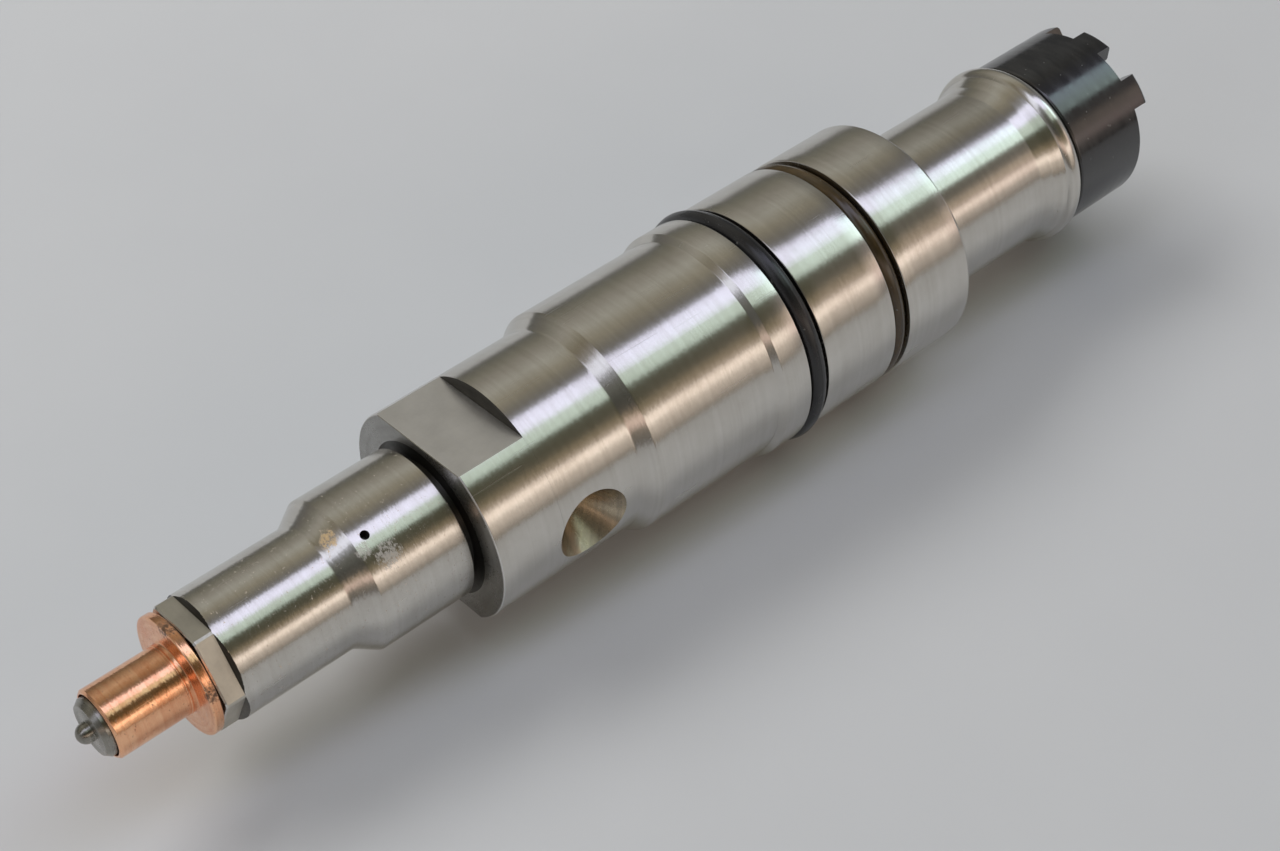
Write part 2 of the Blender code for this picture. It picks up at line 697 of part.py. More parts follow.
def make_connector():
    plug_radius = HOUSING_BORE - GAP
    neck_radius = LIP_RADIUS - GAP
    groove_floor = 10.3
    bottom = COVER_END + GAP
    chamfer = 0.6
    outline = [
        (bottom, 0.0),
        (bottom, plug_radius),
        (157.0, plug_radius),
        (157.0, groove_floor),
        (159.4, groove_floor),
        (159.4, plug_radius),
        (LIP_START - GAP, plug_radius),
        (LIP_START - GAP, neck_radius),
        (CAP_START, neck_radius),
        (CAP_START, CAP_RADIUS),
        (PRONG_END - chamfer, CAP_RADIUS),
        (PRONG_END, CAP_RADIUS - chamfer),
        (PRONG_END, PRONG_INNER_RADIUS),
        (RIM_END - 0.2, PRONG_INNER_RADIUS),
        (RIM_END - 0.2, SOCKET_RADIUS),
        (SOCKET_FLOOR, SOCKET_RADIUS),
        (SOCKET_FLOOR, 0.0),
    ]
    cap = turned("connector_cap", outline, PLASTIC, FINE)
    cutters = [rim_cutter()]
    start = bottom - 1.0
    hole = [
        (start, 0.0),
        (start, TERMINAL_WIRE_RADIUS + GAP),
        (TERMINAL_STEP - 0.9, TERMINAL_WIRE_RADIUS + GAP),
        (TERMINAL_STEP - 0.5, TERMINAL_PIN_RADIUS + GAP),
        (SOCKET_FLOOR + 1.5, TERMINAL_PIN_RADIUS + GAP),
        (SOCKET_FLOOR + 1.5, 0.0),
    ]
    for side, clock in (("a", 90.0), ("b", 270.0)):
        cutter = turned("cap_pin_cutter_" + side, hole, None, 12)
        cutter.location = clock_point(clock, TERMINAL_OFFSET, start)
        cutters.append(cutter)
    cut(cap, cutters)


def make_seals():
    lower_start, lower_end = LOWER_GROOVE
    upper_start, upper_end = UPPER_GROOVE
    ring("o_ring_lower", (lower_start + lower_end) / 2.0, LOWER_RING_RADIUS, LOWER_RING_SECTION,
         BLACK_RUBBER)
    ring("o_ring_upper", (upper_start + upper_end) / 2.0, UPPER_RING_RADIUS, UPPER_RING_SECTION,
         BROWN_RUBBER)
    ring("housing_seal_ring", 141.2, INNER_RING_RADIUS, INNER_RING_SECTION, BLACK_RUBBER, MEDIUM)
    ring("cap_seal_ring", 158.2, INNER_RING_RADIUS, INNER_RING_SECTION, BLACK_RUBBER, MEDIUM)


make_nozzle()
make_needle()
make_copper_sleeve()
make_nut()
make_adapter()
make_body()
make_pilot_valve()
make_solenoid()
make_housing()
make_connector()
make_seals()
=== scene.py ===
"""Looks of the fuel injector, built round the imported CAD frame.

The injector lies along X with its nozzle towards -X. Outlines are (station, radius)
pairs in millimetres: a station is the distance along X from the copper flange's sealing
face. Clock angles are in degrees, 0 at +Z and 90 at -Y.
"""

import math

import bmesh
import bpy
from mathutils import Matrix, Vector


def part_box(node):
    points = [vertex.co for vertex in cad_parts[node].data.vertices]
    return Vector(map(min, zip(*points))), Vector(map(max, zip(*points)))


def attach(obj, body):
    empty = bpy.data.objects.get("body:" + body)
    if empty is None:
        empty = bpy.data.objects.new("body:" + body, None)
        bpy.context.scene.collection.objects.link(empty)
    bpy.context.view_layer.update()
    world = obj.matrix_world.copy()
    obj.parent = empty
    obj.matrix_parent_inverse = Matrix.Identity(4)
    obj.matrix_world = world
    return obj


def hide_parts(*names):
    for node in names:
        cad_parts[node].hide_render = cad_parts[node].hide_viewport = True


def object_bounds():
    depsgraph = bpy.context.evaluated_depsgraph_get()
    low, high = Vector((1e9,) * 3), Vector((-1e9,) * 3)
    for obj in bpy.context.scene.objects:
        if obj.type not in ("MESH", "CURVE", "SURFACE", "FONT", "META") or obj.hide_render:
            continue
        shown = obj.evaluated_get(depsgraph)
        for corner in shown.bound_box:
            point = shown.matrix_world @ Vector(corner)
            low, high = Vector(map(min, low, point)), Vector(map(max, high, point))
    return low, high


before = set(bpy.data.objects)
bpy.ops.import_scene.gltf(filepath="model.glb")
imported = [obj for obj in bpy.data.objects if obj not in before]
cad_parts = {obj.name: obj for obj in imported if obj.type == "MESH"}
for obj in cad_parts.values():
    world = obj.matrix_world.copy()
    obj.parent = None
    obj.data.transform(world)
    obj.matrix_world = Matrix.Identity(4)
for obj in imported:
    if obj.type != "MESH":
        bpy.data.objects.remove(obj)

cad_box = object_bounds()

MM = 0.001
FACETS = 192
SMALL_FACETS = 96
AXIAL_STEP = 3.0
SHARP_ANGLE = math.radians(24.0)

# Sizes of the finer pieces, nozzle to connector: stations, lengths and radii in millimetres,
# clocks in degrees. A groove is (first station, last station, floor radius).
CLEARANCE = 0.3
SAC_RADIUS = 1.5
SAC_REACH = 2.0
SHANK_RADIUS = 4.43
SHANK_CHAMFER_LENGTH = 0.8
SHANK_CHAMFER_DEPTH = 0.6
NOZZLE_HEAD_START = 6.3
GALLERY_RADIUS = 5.2
GALLERY_START = 13.5
GALLERY_END = 16.5
STEM_BORE_RADIUS = 1.9
SEAT_STATION = -11.0
SAC_BORE_RADIUS = 0.55
SPRAY_HOLES = 8
SPRAY_CLOCK = 10.0
SPRAY_RADIUS = 0.06
SLEEVE_RADIUS = 5.27
FLANGE_RADIUS = 9.25
NUT_NOSE_RADIUS = 9.72
NUT_HEX_CLOCK = 23.0
NUT_HEX_CORNER = 9.85
NUT_HEX_LENGTH = 2.95
NUT_HEX_RUNOUT = 0.5
NUT_CONE_START = 23.1
NUT_CONE_END = 26.6
NUT_HEAD_BORE = 7.85
NUT_HEAD_FLOOR = 6.0
NUT_THREAD_BORE = 10.0
VENT_STATION = 28.8
VENT_CLOCK = 24.3
VENT_RADIUS = 0.7
BODY_FRONT = 42.8
SPIGOT_RADIUS = 9.6
FRONT_RECESS_RADIUS = 12.42
RECESS_DEPTH = 0.3
FRONT_RADIUS = 16.65
FLAT_CLOCK = -6.0
FLAT_HALF = 13.75
FLAT_LENGTH = 11.3
INLET_STATION = 59.3
INLET_CLOCK = 90.0
INLET_MOUTH_RADIUS = 6.1
INLET_DEPTH = 8.1
INLET_BORE_RADIUS = 1.3
INLET_ROOT_RADIUS = 5.7
CONE_START = 68.7
CONE_END = 71.0
MIDDLE_RADIUS = 18.29
MIDDLE_END = 94.2
REAR_START = 95.1
LOWER_GROOVE = (100.1, 103.7, 16.5)
UPPER_GROOVE = (118.1, 121.3, 16.2)
LOWER_RING_SECTION = 1.5
UPPER_RING_SECTION = 1.3
REAR_SHOULDER = 135.4
REAR_RECESS_RADIUS = 14.1
BOSS_RADIUS = 11.8
POCKET_RADIUS = 9.2
POCKET_FLOOR = 112.0
BORE_RADIUS = 2.3
SPRING_CHAMBER_END = 58.3
SPRING_CHAMBER_RADIUS = 3.6
HOUSING_RADIUS = 13.67
HOUSING_BORE = 12.1
BEAD_SECTION = 1.75
LIP_RADIUS = 10.9
LIP_THICKNESS = 1.4
PLUG_RADIUS = 11.8
PLUG_GROOVE = (157.0, 159.4, 10.3)
NECK_START = 164.6
NECK_RADIUS = 10.6
CAP_START = 166.6
RIM_END = 181.2
PRONG_CLOCKS = (-42.0, 2.0, 46.0)
PRONG_WIDTH = 5.2
PRONG_INNER_RADIUS = 12.0
SOCKET_RADIUS = 10.4
SOCKET_FLOOR = 170.5
SOCKET_PAD_RADIUS = 4.2
TERMINAL_OFFSET = 5.7
TERMINAL_RADIUS = 1.15
TERMINAL_WIRE_RADIUS = 0.6
TERMINAL_STEP = 166.4

# Material slots of the body and the nut. The last three hold painted shade.
FLAT_SLOT = 1
PAINTED_SHADE_SLOT = 2
SHADED_SEAT_SLOT = 3
SHADED_FACE_SLOT = 4

CAMERA_PLACE = (-0.0774, -0.1795, 0.2382)
CAMERA_AZIMUTH = math.radians(-41.75)
CAMERA_ELEVATION = math.radians(45.735)
CAMERA_LENS = 63.42


# ---------------------------------------------------------------- stations from the frame

def span(node):
    """(first station, last station, largest radius) of a CAD node, in millimetres."""
    low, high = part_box(node)
    return low[0] / MM, high[0] / MM, high[2] / MM


def clock_point(clock, radius, station):
    angle = math.radians(clock)
    return Vector((station, -radius * math.sin(angle), radius * math.cos(angle))) * MM


# ---------------------------------------------------------------- outlines

def arc(centre, radius, start, end, steps):
    """Points of an arc in the (station, radius) plane, angles in degrees from +station."""
    station, height = centre
    angles = [math.radians(start + (end - start) * i / steps) for i in range(steps + 1)]
    return [(station + radius * math.cos(a), height + radius * math.sin(a)) for a in angles]


def rounded(corners, steps=4):
    """An outline whose corners given as (station, radius, fillet) are rounded."""
    points = []
    for index, corner in enumerate(corners):
        if len(corner) == 2:
            points.append(corner)
            continue
        station, radius, fillet = corner
        here = Vector((station, radius))
        before = (Vector(corners[index - 1][:2]) - here).normalized()
        after = (Vector(corners[(index + 1) % len(corners)][:2]) - here).normalized()
        half = before.angle(after) / 2.0
        centre = here + (before + after).normalized() * (fillet / math.sin(half))
        first = here + before * (fillet / math.tan(half)) - centre
        across = after - before
        turn = math.pi - 2.0 * half
        if first.x * across.y - first.y * across.x < 0.0:
            turn = -turn
        for step in range(steps + 1):
            angle = turn * step / steps
            x = first.x * math.cos(angle) - first.y * math.sin(angle)
            y = first.x * math.sin(angle) + first.y * math.cos(angle)
            points.append((centre.x + x, centre.y + y))
    return points


def refined(points, closed):
    """The same outline with no stretch longer than the axial step."""
    result = []
    pairs = list(zip(points, points[1:]))
    if closed:
        pairs.append((points[-1], points[0]))
    for first, second in pairs:
        count = max(1, math.ceil(math.dist(first, second) / AXIAL_STEP))
        for step in range(count):
            share = step / count
            result.append((first[0] + (second[0] - first[0]) * share,
                           first[1] + (second[1] - first[1]) * share))
    if not closed:
        result.append(points[-1])
    return result


# ---------------------------------------------------------------- meshes

def finish_mesh(name, mesh, material):
    thing = bpy.data.objects.new(name, mesh)
    bpy.context.scene.collection.objects.link(thing)
    mesh.materials.append(material)
    mesh.shade_smooth()
    mesh.set_sharp_from_angle(angle=SHARP_ANGLE)
    return thing


def lathe(name, points, material, facets=FACETS, shape=None, extra_angles=()):
    """A fine turned mesh round X. shape(station, angle, radius) may change a point's radius."""
    closed = points[0][1] > 0.0 or points[-1][1] > 0.0
    outline = refined(points, closed)
    angles = sorted({round(360.0 * i / facets, 4) for i in range(facets)}
                    | {round(a % 360.0, 4) for a in extra_angles})
    vertices = []
    rings = []
    for station, radius in outline:
        if radius == 0.0:
            rings.append([len(vertices)] * len(angles))
            vertices.append((station * MM, 0.0, 0.0))
            continue
        rings.append(list(range(len(vertices), len(vertices) + len(angles))))
        for angle in angles:
            reach = shape(station, angle, radius) if shape else radius
            vertices.append(clock_point(angle, reach, station))
    faces = []
    ring_pairs = list(zip(rings, rings[1:]))
    if closed:
        ring_pairs.append((rings[-1], rings[0]))
    for near, far in ring_pairs:
        for i in range(len(angles)):
            j = (i + 1) % len(angles)
            corners = [near[i], near[j], far[j], far[i]]
            face = [c for k, c in enumerate(corners) if c != corners[k - 1]]
            faces.append(face)
    mesh = bpy.data.meshes.new(name)
    mesh.from_pydata(vertices, [], faces)
    form = bmesh.new()
    form.from_mesh(mesh)
    bmesh.ops.recalc_face_normals(form, faces=form.faces)
    form.to_mesh(mesh)
    form.free()
    return finish_mesh(name, mesh, material)


def cutter_object(name, form, slot=0):
    for face in form.faces:
        face.material_index = slot
    mesh = bpy.data.meshes.new(name)
    form.to_mesh(mesh)
    form.free()
    cutter = bpy.data.objects.new(name, mesh)
    bpy.context.scene.collection.objects.link(cutter)
    return cutter


def cone_cutter(name, near, far, near_radius, far_radius, segments=64, slot=0):
    """A cone between two points. The walls it leaves take the material in the slot."""
    form = bmesh.new()
    direction = far - near
    turn = direction.to_track_quat("Z", "Y").to_matrix().to_4x4()
    place = Matrix.Translation((near + far) / 2.0) @ turn
    bmesh.ops.create_cone(form, segments=segments, cap_ends=True, radius1=near_radius,
                          radius2=far_radius, depth=direction.length, matrix=place)
    return cutter_object(name, form, slot)


def cut(thing, cutters, round_part=None):
    """Cuts shapes out of a turned piece. round_part(point) gives the centre a face curves
    about, or None; such faces keep the normals of the uncut surface."""
    for cutter in cutters:
        boolean = thing.modifiers.new(cutter.name, "BOOLEAN")
        boolean.operation = "DIFFERENCE"
        boolean.solver = "EXACT"
        boolean.object = cutter
    graph = bpy.context.evaluated_depsgraph_get()
    mesh = bpy.data.meshes.new_from_object(thing.evaluated_get(graph))
    thing.modifiers.clear()
    thing.data = mesh
    for cutter in cutters:
        bpy.data.objects.remove(cutter, do_unlink=True)
    mesh.shade_smooth()
    mesh.set_sharp_from_angle(angle=SHARP_ANGLE)
    if round_part is None:
        return
    normals = [corner.vector.copy() for corner in mesh.corner_normals]
    for polygon in mesh.polygons:
        if round_part(polygon.center) is None:
            continue
        for loop in polygon.loop_indices:
            place = mesh.vertices[mesh.loops[loop].vertex_index].co
            centre = round_part(polygon.center, place)
            normals[loop] = (place - centre).normalized()
    mesh.normals_split_custom_set(normals)


def on_barrel(radius, start, end):
    """For faces on a cylinder between two stations: the point of the axis beside a vertex."""
    def centre(face, vertex=Vector()):
        reach = math.hypot(face.y, face.z) / MM
        if abs(reach - radius) < 0.02 and start < face.x / MM < end:
            return Vector((vertex.x, 0.0, 0.0))
        return None
    return centre


def on_dome(station, radius):
    """For faces on a ball centred on the axis, in front of its centre: that centre."""
    middle = Vector((station, 0.0, 0.0)) * MM

    def centre(face, vertex=None):
        if abs((face - middle).length / MM - radius) < 0.03 and face.x < middle.x:
            return middle
        return None
    return centre


# ---------------------------------------------------------------- materials

def shader_node(tree, kind, inputs=None, **settings):
    """A node with its settings and inputs. An input that is a socket is linked."""
    made = tree.nodes.new("ShaderNode" + kind)
    for key, value in settings.items():
        setattr(made, key, value)
    for key, value in (inputs or {}).items():
        if isinstance(value, bpy.types.NodeSocket):
            tree.links.new(value, made.inputs[key])
        else:
            made.inputs[key].default_value = value
    return made


def math_node(tree, operation, first, second=0.0, third=0.0, clamp=False):
    inputs = {0: first, 1: second, 2: third}
    return shader_node(tree, "Math", inputs, operation=operation, use_clamp=clamp).outputs[0]


def remap(tree, value, low, high, to_low, to_high):
    inputs = {"Value": value, "From Min": low, "From Max": high,
              "To Min": to_low, "To Max": to_high}
    return shader_node(tree, "MapRange", inputs).outputs["Result"]


def blend_colours(tree, factor, first, second):
    inputs = {"Factor": factor, 6: first, 7: second}
    return shader_node(tree, "Mix", inputs, data_type="RGBA").outputs[2]


def colour(red, green, blue):
    return (red, green, blue, 1.0)


def start_material(name):
    material = bpy.data.materials.new(name)
    material.use_nodes = True
    tree = material.node_tree
    shader = tree.nodes["Principled BSDF"]
    place = shader_node(tree, "TexCoord").outputs["Object"]
    return material, tree, shader, place


def stretched(tree, place, scale):
    return shader_node(tree, "Mapping", {"Vector": place, "Scale": scale}).outputs[0]


def noise(tree, place, scale, detail=3.0, roughness=0.6):
    inputs = {"Vector": place, "Scale": scale, "Detail": detail, "Roughness": roughness}
    return shader_node(tree, "TexNoise", inputs).outputs["Fac"]


def ring_noise(tree, place, scale, detail=3.0):
    """Noise that changes with station and radius only, as a lathe tool leaves it."""
    parts = shader_node(tree, "SeparateXYZ", {0: place})
    across = shader_node(tree, "CombineXYZ", {"Y": parts.outputs["Y"], "Z": parts.outputs["Z"]})
    reach = shader_node(tree, "VectorMath", {0: across.outputs[0]}, operation="LENGTH")
    ring = math_node(tree, "ADD", parts.outputs["X"], reach.outputs["Value"])
    inputs = {"W": ring, "Scale": scale, "Detail": detail, "Roughness": 0.7}
    return shader_node(tree, "TexNoise", inputs, noise_dimensions="1D").outputs["Fac"]


def bump(tree, shader, height, distance, strength=1.0):
    inputs = {"Height": height, "Distance": distance, "Strength": strength}
    made = shader_node(tree, "Bump", inputs)
    tree.links.new(made.outputs[0], shader.inputs["Normal"])


def around_jitter(tree, normal, place, amount):
    """Leans the normal a little to and fro round the axis, in short fine strokes."""
    strokes = noise(tree, stretched(tree, place, (7500.0, 1500.0, 1500.0)), 1.0, 2.0, 0.6)
    lean = remap(tree, strokes, 0.25, 0.75, -amount, amount)
    tangent = shader_node(tree, "Tangent", direction_type="RADIAL", axis="X").outputs[0]
    push = shader_node(tree, "VectorMath", {0: tangent, "Scale": lean}, operation="SCALE")
    moved = shader_node(tree, "VectorMath", {0: normal, 1: push.outputs[0]}, operation="ADD")
    unit = shader_node(tree, "VectorMath", {0: moved.outputs[0]}, operation="NORMALIZE")
    return unit.outputs[0], tangent


def turned_metal(name, light, dark, rough_low, rough_high, jitter=0.02, marks=1.0, stains_and_glints=(),
                 mottle=0.5):
    """Each of stains_and_glints, a stain, a pit or a painted glint, is (centre, reach in
    millimetres, colour).
    Each stain is (centre, reach in millimetres, colour)."""
    material, tree, shader, place = start_material(name)
    fine = ring_noise(tree, place, 6500.0)
    medium = ring_noise(tree, place, 900.0)
    patches = noise(tree, place, 120.0, 6.0, 0.7)
    grain = noise(tree, stretched(tree, place, (5200.0, 2600.0, 2600.0)), 1.0, 3.0, 0.7)
    scratch_place = shader_node(tree, "Mapping", {"Vector": place, "Rotation": (0.3, 0.5, 0.9),
                                                  "Scale": (70.0, 4200.0, 700.0)}).outputs[0]
    scratches = noise(tree, scratch_place, 1.0, 1.0, 0.4)
    scratched = remap(tree, scratches, 0.74, 0.78, 0.0, 1.0)
    patchy = math_node(tree, "MULTIPLY", patches, 0.65)
    film = math_node(tree, "MULTIPLY_ADD", medium, 0.35, patchy)
    half = mottle * 0.24
    tone = blend_colours(tree, remap(tree, film, 0.5 - half, 0.5 + half, 0.0, 1.0), light, dark)
    shader.inputs["Metallic"].default_value = 1.0
    for centre, reach, tint in stains_and_glints:
        mask = stain_and_glint_mark(tree, place, centre, reach)
        tone = blend_colours(tree, mask, tone, tint)
        metallic = math_node(tree, "MULTIPLY_ADD", mask, -0.8, 1.0)
        if shader.inputs["Metallic"].is_linked:
            before = shader.inputs["Metallic"].links[0].from_socket
            metallic = math_node(tree, "MULTIPLY", metallic, before)
        tree.links.new(metallic, shader.inputs["Metallic"])
    tree.links.new(tone, shader.inputs["Base Color"])
    worn = math_node(tree, "MULTIPLY_ADD", grain, 0.5, math_node(tree, "MULTIPLY", patches, 0.5))
    rough = remap(tree, worn, 0.36, 0.64, rough_low, rough_high)
    rough = math_node(tree, "MULTIPLY_ADD", scratched, 0.10, rough)
    tree.links.new(rough, shader.inputs["Roughness"])
    height = math_node(tree, "MULTIPLY_ADD", scratched, -0.6, fine)
    inputs = {"Height": height, "Distance": 0.0000010 * marks}
    ringed = shader_node(tree, "Bump", inputs).outputs[0]
    normal, tangent = around_jitter(tree, ringed, place, jitter)
    tree.links.new(normal, shader.inputs["Normal"])
    tree.links.new(tangent, shader.inputs["Tangent"])
    shader.inputs["Anisotropic"].default_value = 0.75
    shader.inputs["Anisotropic Rotation"].default_value = 0.25
    return material


def milled_metal(name, light, dark):
    """A milled flat: parallel cutter lines across the axis, with a dull satin finish."""
    material, tree, shader, place = start_material(name)
    lines = noise(tree, stretched(tree, place, (2600.0, 120.0, 120.0)), 1.0, 3.0, 0.7)
    grain = noise(tree, place, 2500.0, 3.0)
    patches = noise(tree, place, 160.0, 4.0)
    tone = blend_colours(tree, remap(tree, patches, 0.35, 0.65, 0.0, 1.0), light, dark)
    tree.links.new(tone, shader.inputs["Base Color"])
    rough = remap(tree, math_node(tree, "ADD", lines, grain), 0.7, 1.3, 0.36, 0.50)
    tree.links.new(rough, shader.inputs["Roughness"])
    bump(tree, shader, math_node(tree, "ADD", lines, grain), 0.000004)
    shader.inputs["Metallic"].default_value = 1.0
    return material


def moulded(name, light, dark, rough_low, rough_high, index, grain_size=1800.0, relief=0.000003):
    """Moulded plastic or rubber: faint grain, scuffs and specks of dust."""
    material, tree, shader, place = start_material(name)
    grain = noise(tree, place, grain_size, 2.0)
    scuffs = noise(tree, stretched(tree, place, (600.0, 160.0, 160.0)), 1.0, 5.0, 0.65)
    dust = remap(tree, noise(tree, place, 1500.0, 1.0), 0.74, 0.80, 0.0, 0.5)
    tone = blend_colours(tree, remap(tree, scuffs, 0.4, 0.7, 0.0, 1.0), dark, light)
    tone = blend_colours(tree, dust, tone, colour(0.25, 0.25, 0.24))
    tree.links.new(tone, shader.inputs["Base Color"])
    rough = remap(tree, scuffs, 0.35, 0.7, rough_low, rough_high)
    tree.links.new(rough, shader.inputs["Roughness"])
    bump(tree, shader, math_node(tree, "MULTIPLY_ADD", grain, 0.5, scuffs), relief)
    shader.inputs["IOR"].default_value = index
    return material


def stain_and_glint_mark(tree, place, centre, reach):
    """The mask of a dried splash, also used for a painted glint: strongest round its centre,
    broken up towards its reach in millimetres, and a few faint specks beyond it."""
    apart = shader_node(tree, "VectorMath", {0: place, 1: tuple(centre)}, operation="DISTANCE")
    near = remap(tree, apart.outputs["Value"], 0.4 * reach * MM, reach * MM, 1.0, 0.6)
    broken = noise(tree, stretched(tree, place, (2400.0, 1500.0, 1500.0)), 1.0, 4.0, 0.7)
    return remap(tree, math_node(tree, "MULTIPLY", near, broken), 0.37, 0.53, 0.0, 0.9)


STEEL_LIGHT = colour(0.66, 0.64, 0.60)
STEEL_DARK = colour(0.58, 0.555, 0.51)
steel = turned_metal("turned_steel", STEEL_LIGHT, STEEL_DARK, 0.17, 0.23, 0.014)
nut_stains_and_glint = (
    (clock_point(43.0, 12.0, 30.2), 2.6, colour(0.62, 0.60, 0.56)),
    (clock_point(33.0, 11.8, 27.4), 1.6, colour(0.58, 0.56, 0.52)),
    # Partly a tan stain, partly a painted amber glint on the nose cone.
    (clock_point(11.0, 10.9, 24.7), 1.9, colour(0.72, 0.52, 0.28)),
)
nut_steel = turned_metal("nut_steel", STEEL_LIGHT, STEEL_DARK, 0.17, 0.24, 0.020, 1.2, nut_stains_and_glint)
flat_steel = milled_metal("milled_steel", colour(0.80, 0.79, 0.78), colour(0.70, 0.69, 0.68))
hex_steel = milled_metal("milled_hexagon", colour(0.62, 0.59, 0.52), colour(0.50, 0.475, 0.42))
nozzle_steel = turned_metal("ground_steel", colour(0.35, 0.335, 0.30), colour(0.22, 0.21, 0.185),
                            0.24, 0.36, 0.03)
# Painted shade: darker steel inside the inlet cone, tinted warm to stand for the gold glint seen
# there.
seat_shade_steel = turned_metal("inlet_seat_painted_shade", colour(0.52, 0.44, 0.32), colour(0.36, 0.31, 0.24),
                          0.24, 0.36)
# Painted shade: darker steel for the body's outer front face, which lies in deep shade behind the
# nut.
face_shade_steel = turned_metal("painted_shade_face", colour(0.36, 0.35, 0.33), colour(0.27, 0.26, 0.24),
                          0.24, 0.34)
# Painted shade: near-black steel for the hexagon's run-out groove, the vent hole, the front recess
# and the step behind the flats, where shade falls.
painted_shade_steel = turned_metal("painted_shade_recess", colour(0.10, 0.095, 0.085), colour(0.05, 0.048, 0.042),
                            0.35, 0.5)
inner_steel = turned_metal("inner_steel", colour(0.50, 0.50, 0.50), colour(0.40, 0.40, 0.41),
                           0.22, 0.36)
spring_steel = turned_metal("spring_steel", colour(0.42, 0.42, 0.43), colour(0.30, 0.30, 0.32),
                            0.25, 0.40)
copper_pits = (
    (clock_point(-4.0, FLANGE_RADIUS, 0.7), 2.2, colour(0.06, 0.035, 0.02)),
    (clock_point(66.0, FLANGE_RADIUS, 0.7), 1.8, colour(0.08, 0.045, 0.03)),
)
copper = turned_metal("turned_copper", colour(1.0, 0.57, 0.34), colour(0.84, 0.38, 0.20),
                      0.15, 0.28, 0.045, 1.5, copper_pits, 0.35)
terminal_metal = turned_metal("tinned_brass", colour(0.84, 0.72, 0.44), colour(0.66, 0.52, 0.28),
                              0.18, 0.32)
winding_metal = turned_metal("enamelled_wire", colour(0.62, 0.26, 0.12), colour(0.42, 0.15, 0.07),
                             0.25, 0.45, 0.02, 6.0)
black_plastic = moulded("black_plastic", colour(0.016, 0.016, 0.017), colour(0.009, 0.009, 0.010),
                        0.10, 0.24, 1.80)
bobbin_plastic = moulded("bobbin_plastic", colour(0.78, 0.73, 0.60), colour(0.66, 0.61, 0.50),
                         0.35, 0.50, 1.5)
black_rubber = moulded("black_rubber", colour(0.020, 0.020, 0.021), colour(0.008, 0.008, 0.009),
                       0.18, 0.34, 1.55)
brown_rubber = moulded("brown_rubber", colour(0.080, 0.050, 0.018), colour(0.034, 0.022, 0.008),
                       0.14, 0.26, 1.6)


# ---------------------------------------------------------------- pieces

def place_piece(piece, node):
    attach(piece, "injector")
    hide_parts(node)


def make_nozzle():
    start, end, head = span("nozzle_body")
    face = start + SAC_REACH
    tip = arc((start + SAC_RADIUS, 0.0), SAC_RADIUS, 180.0, 90.0, 14)
    outline = rounded([
        (start, 0.0),
        *tip[1:],
        (face, SAC_RADIUS, 0.12),
        (face, SHANK_RADIUS - SHANK_CHAMFER_DEPTH, 0.08),
        (face + SHANK_CHAMFER_LENGTH, SHANK_RADIUS, 0.08),
        (NOZZLE_HEAD_START, SHANK_RADIUS),
        (NOZZLE_HEAD_START, head, 0.3),
        (end, head, 0.3),
        (end, BORE_RADIUS),
        (GALLERY_END + 1.0, BORE_RADIUS),
        (GALLERY_END, GALLERY_RADIUS),
        (GALLERY_START, GALLERY_RADIUS),
        (GALLERY_START - 2.0, STEM_BORE_RADIUS),
        (SEAT_STATION, STEM_BORE_RADIUS),
        (SEAT_STATION - 1.6, SAC_BORE_RADIUS),
        (start + 1.7, SAC_BORE_RADIUS),
        (start + 1.2, 0.0),
    ])
    nozzle = lathe("nozzle_shell", outline, nozzle_steel, SMALL_FACETS)
    holes = []
    for index in range(SPRAY_HOLES):
        clock = 360.0 / SPRAY_HOLES * index + SPRAY_CLOCK
        root = clock_point(clock, 0.2 * SAC_RADIUS, start + 1.2)
        mouth = clock_point(clock, 1.2 * SAC_RADIUS, start + 0.5)
        radius = SPRAY_RADIUS * MM
        holes.append(cone_cutter("spray_cutter", root, mouth, radius, radius, 16))
    cut(nozzle, holes, on_dome(start + SAC_RADIUS, SAC_RADIUS))
    place_piece(nozzle, "nozzle_body")


def make_copper_sleeve():
    start, end, flange = span("copper_seal_sleeve")
    bore = SHANK_RADIUS + CLEARANCE
    tube = SLEEVE_RADIUS
    bead = tube + 0.07
    outline = rounded([
        (start, bore, 0.05),
        (start, tube - 0.35, 0.08),
        (start + 0.35, tube, 0.12),
        (-1.0, tube),
        (-0.9, bead, 0.03),
        (-0.7, bead, 0.03),
        (-0.6, tube),
        (0.0, tube + 0.05, 0.3),
        (0.0, flange, 0.3),
        (end, flange, 0.25),
        (end, bore),
    ])
    sleeve = lathe("copper_shell", outline, copper)
    place_piece(sleeve, "copper_seal_sleeve")


def from_face_middle(angle):
    """Degrees from the middle of the nearest hexagon face."""
    return (angle - NUT_HEX_CLOCK) % 60.0 - 30.0


